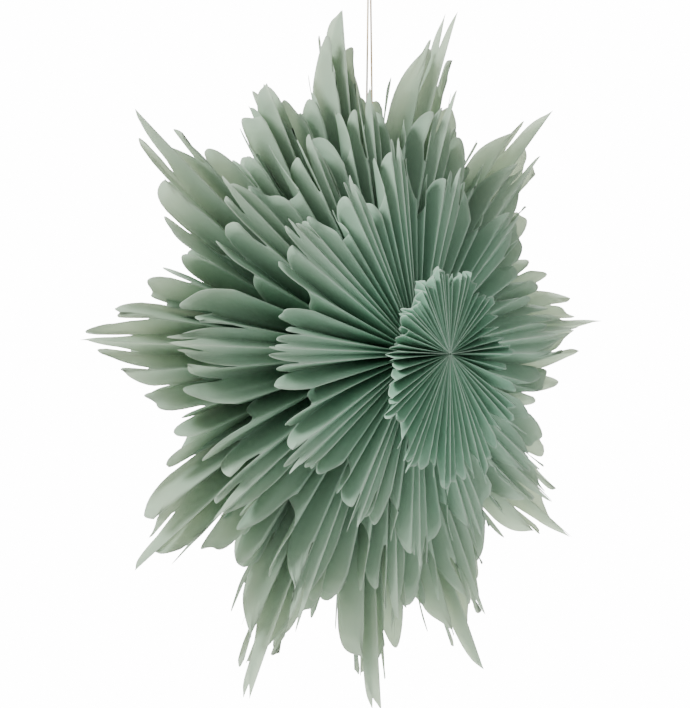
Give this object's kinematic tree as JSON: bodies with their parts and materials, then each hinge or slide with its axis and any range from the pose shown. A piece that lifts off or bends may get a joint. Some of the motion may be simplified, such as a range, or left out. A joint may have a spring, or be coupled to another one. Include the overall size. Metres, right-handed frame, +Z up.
{
  "type": "hanging paper star",
  "caption": "Round fan-folded paper snowflake star with stepped die-cut points, hung from a looped string.",
  "frame": {"origin": "inside top of the hanging loop, where a hook carries the star", "axes": "+Z up; the star's axis lies along Y with its pictured front rosette facing -Y; +X to the right seen from that front"},
  "size_m": [0.5046, 0.162, 0.5431],
  "materials": {
    "star_paper": "matte",
    "string": "twisted cotton",
    "tape": "matte"
  },
  "bodies": {
    "first_cell": {"core_sheet_01": "star_paper", "side_sheets_01": "star_paper", "end_panel": "star_paper", "hanging_string": "string", "string_knot": "string", "hanging_loop": "string"},
    "cell_02": {"core_sheet_02": "star_paper", "side_sheets_02": "star_paper"},
    "cell_03": {"core_sheet_03": "star_paper", "side_sheets_03": "star_paper"},
    "cell_04": {"core_sheet_04": "star_paper", "side_sheets_04": "star_paper"},
    "cell_05": {"core_sheet_05": "star_paper", "side_sheets_05": "star_paper"},
    "cell_06": {"core_sheet_06": "star_paper", "side_sheets_06": "star_paper"},
    "cell_07": {"core_sheet_07": "star_paper", "side_sheets_07": "star_paper"},
    "cell_08": {"core_sheet_08": "star_paper", "side_sheets_08": "star_paper"},
    "cell_09": {"core_sheet_09": "star_paper", "side_sheets_09": "star_paper"},
    "cell_10": {"core_sheet_10": "star_paper", "side_sheets_10": "star_paper"},
    "cell_11": {"core_sheet_11": "star_paper", "side_sheets_11": "star_paper"},
    "cell_12": {"core_sheet_12": "star_paper", "side_sheets_12": "star_paper"},
    "cell_13": {"core_sheet_13": "star_paper", "side_sheets_13": "star_paper"},
    "cell_14": {"core_sheet_14": "star_paper", "side_sheets_14": "star_paper"},
    "cell_15": {"core_sheet_15": "star_paper", "side_sheets_15": "star_paper"},
    "cell_16": {"core_sheet_16": "star_paper", "side_sheets_16": "star_paper"},
    "cell_17": {"core_sheet_17": "star_paper", "side_sheets_17": "star_paper"},
    "cell_18": {"core_sheet_18": "star_paper", "side_sheets_18": "star_paper"},
    "cell_19": {"core_sheet_19": "star_paper", "side_sheets_19": "star_paper"},
    "cell_20": {"core_sheet_20": "star_paper", "side_sheets_20": "star_paper"},
    "cell_21": {"core_sheet_21": "star_paper", "side_sheets_21": "star_paper"},
    "cell_22": {"core_sheet_22": "star_paper", "side_sheets_22": "star_paper"},
    "cell_23": {"core_sheet_23": "star_paper", "side_sheets_23": "star_paper"},
    "cell_24": {"core_sheet_24": "star_paper", "side_sheets_24": "star_paper"},
    "last_panel": {"closing_panel": "star_paper", "seam_tape": "tape"}
  },
  "joints": [
    {"name": "fold_02", "type": "hinge", "parent": "first_cell", "child": "cell_02", "pos_m": [-0.001, 0, -0.28753], "axis": [0, 1, 0], "range_deg": [0, 9.25]},
    {"name": "fold_03", "type": "hinge", "parent": "cell_02", "child": "cell_03", "pos_m": [-0.00171, 0, -0.28769], "axis": [0, 1, 0], "range_deg": [0, 10.5]},
    {"name": "fold_04", "type": "hinge", "parent": "cell_03", "child": "cell_04", "pos_m": [-0.00237, 0, -0.28798], "axis": [0, 1, 0], "range_deg": [0, 11.5]},
    {"name": "fold_05", "type": "hinge", "parent": "cell_04", "child": "cell_05", "pos_m": [-0.00296, 0, -0.28841], "axis": [0, 1, 0], "range_deg": [0, 12.5]},
    {"name": "fold_06", "type": "hinge", "parent": "cell_05", "child": "cell_06", "pos_m": [-0.00343, 0, -0.28897], "axis": [0, 1, 0], "range_deg": [0, 14.75]},
    {"name": "fold_07", "type": "hinge", "parent": "cell_06", "child": "cell_07", "pos_m": [-0.00373, 0, -0.28965], "axis": [0, 1, 0], "range_deg": [0, 17]},
    {"name": "fold_08", "type": "hinge", "parent": "cell_07", "child": "cell_08", "pos_m": [-0.00381, 0, -0.29041], "axis": [0, 1, 0], "range_deg": [0, 17.25]},
    {"name": "fold_09", "type": "hinge", "parent": "cell_08", "child": "cell_09", "pos_m": [-0.00365, 0, -0.29118], "axis": [0, 1, 0], "range_deg": [0, 17.5]},
    {"name": "fold_10", "type": "hinge", "parent": "cell_09", "child": "cell_10", "pos_m": [-0.00325, 0, -0.29188], "axis": [0, 1, 0], "range_deg": [0, 16.25]},
    {"name": "fold_11", "type": "hinge", "parent": "cell_10", "child": "cell_11", "pos_m": [-0.00267, 0, -0.29246], "axis": [0, 1, 0], "range_deg": [0, 15]},
    {"name": "fold_12", "type": "hinge", "parent": "cell_11", "child": "cell_12", "pos_m": [-0.00194, 0, -0.29288], "axis": [0, 1, 0], "range_deg": [0, 14.25]},
    {"name": "fold_13", "type": "hinge", "parent": "cell_12", "child": "cell_13", "pos_m": [-0.00112, 0, -0.29313], "axis": [0, 1, 0], "range_deg": [0, 13.5]},
    {"name": "fold_14", "type": "hinge", "parent": "cell_13", "child": "cell_14", "pos_m": [-0.00026, 0, -0.29319], "axis": [0, 1, 0], "range_deg": [0, 13.25]},
    {"name": "fold_15", "type": "hinge", "parent": "cell_14", "child": "cell_15", "pos_m": [0.0006, 0, -0.29307], "axis": [0, 1, 0], "range_deg": [0, 13]},
    {"name": "fold_16", "type": "hinge", "parent": "cell_15", "child": "cell_16", "pos_m": [0.00143, 0, -0.29278], "axis": [0, 1, 0], "range_deg": [0, 14]},
    {"name": "fold_17", "type": "hinge", "parent": "cell_16", "child": "cell_17", "pos_m": [0.00216, 0, -0.2923], "axis": [0, 1, 0], "range_deg": [0, 15]},
    {"name": "fold_18", "type": "hinge", "parent": "cell_17", "child": "cell_18", "pos_m": [0.00276, 0, -0.29168], "axis": [0, 1, 0], "range_deg": [0, 17.5]},
    {"name": "fold_19", "type": "hinge", "parent": "cell_18", "child": "cell_19", "pos_m": [0.00315, 0, -0.29092], "axis": [0, 1, 0], "range_deg": [0, 20]},
    {"name": "fold_20", "type": "hinge", "parent": "cell_19", "child": "cell_20", "pos_m": [0.00327, 0, -0.29009], "axis": [0, 1, 0], "range_deg": [0, 19.5]},
    {"name": "fold_21", "type": "hinge", "parent": "cell_20", "child": "cell_21", "pos_m": [0.00313, 0, -0.28929], "axis": [0, 1, 0], "range_deg": [0, 19]},
    {"name": "fold_22", "type": "hinge", "parent": "cell_21", "child": "cell_22", "pos_m": [0.00274, 0, -0.2886], "axis": [0, 1, 0], "range_deg": [0, 16.75]},
    {"name": "fold_23", "type": "hinge", "parent": "cell_22", "child": "cell_23", "pos_m": [0.00218, 0, -0.28807], "axis": [0, 1, 0], "range_deg": [0, 14.5]},
    {"name": "fold_24", "type": "hinge", "parent": "cell_23", "child": "cell_24", "pos_m": [0.00152, 0, -0.28771], "axis": [0, 1, 0], "range_deg": [0, 15.75]},
    {"name": "fold_last_panel", "type": "hinge", "parent": "cell_24", "child": "last_panel", "pos_m": [0.0008, 0, -0.28756], "axis": [0, 1, 0], "range_deg": [0, 8.5]}
  ],
  "couplings": [
    {"joint": "fold_03", "follows": "fold_02", "ratio": 1.1351},
    {"joint": "fold_04", "follows": "fold_02", "ratio": 1.2432},
    {"joint": "fold_05", "follows": "fold_02", "ratio": 1.3514},
    {"joint": "fold_06", "follows": "fold_02", "ratio": 1.5946},
    {"joint": "fold_07", "follows": "fold_02", "ratio": 1.8378},
    {"joint": "fold_08", "follows": "fold_02", "ratio": 1.8649},
    {"joint": "fold_09", "follows": "fold_02", "ratio": 1.8919},
    {"joint": "fold_10", "follows": "fold_02", "ratio": 1.7568},
    {"joint": "fold_11", "follows": "fold_02", "ratio": 1.6216},
    {"joint": "fold_12", "follows": "fold_02", "ratio": 1.5405},
    {"joint": "fold_13", "follows": "fold_02", "ratio": 1.4595},
    {"joint": "fold_14", "follows": "fold_02", "ratio": 1.4324},
    {"joint": "fold_15", "follows": "fold_02", "ratio": 1.4054},
    {"joint": "fold_16", "follows": "fold_02", "ratio": 1.5135},
    {"joint": "fold_17", "follows": "fold_02", "ratio": 1.6216},
    {"joint": "fold_18", "follows": "fold_02", "ratio": 1.8919},
    {"joint": "fold_19", "follows": "fold_02", "ratio": 2.1622},
    {"joint": "fold_20", "follows": "fold_02", "ratio": 2.1081},
    {"joint": "fold_21", "follows": "fold_02", "ratio": 2.0541},
    {"joint": "fold_22", "follows": "fold_02", "ratio": 1.8108},
    {"joint": "fold_23", "follows": "fold_02", "ratio": 1.5676},
    {"joint": "fold_24", "follows": "fold_02", "ratio": 1.7027},
    {"joint": "fold_last_panel", "follows": "fold_02", "ratio": 0.91892}
  ]
}
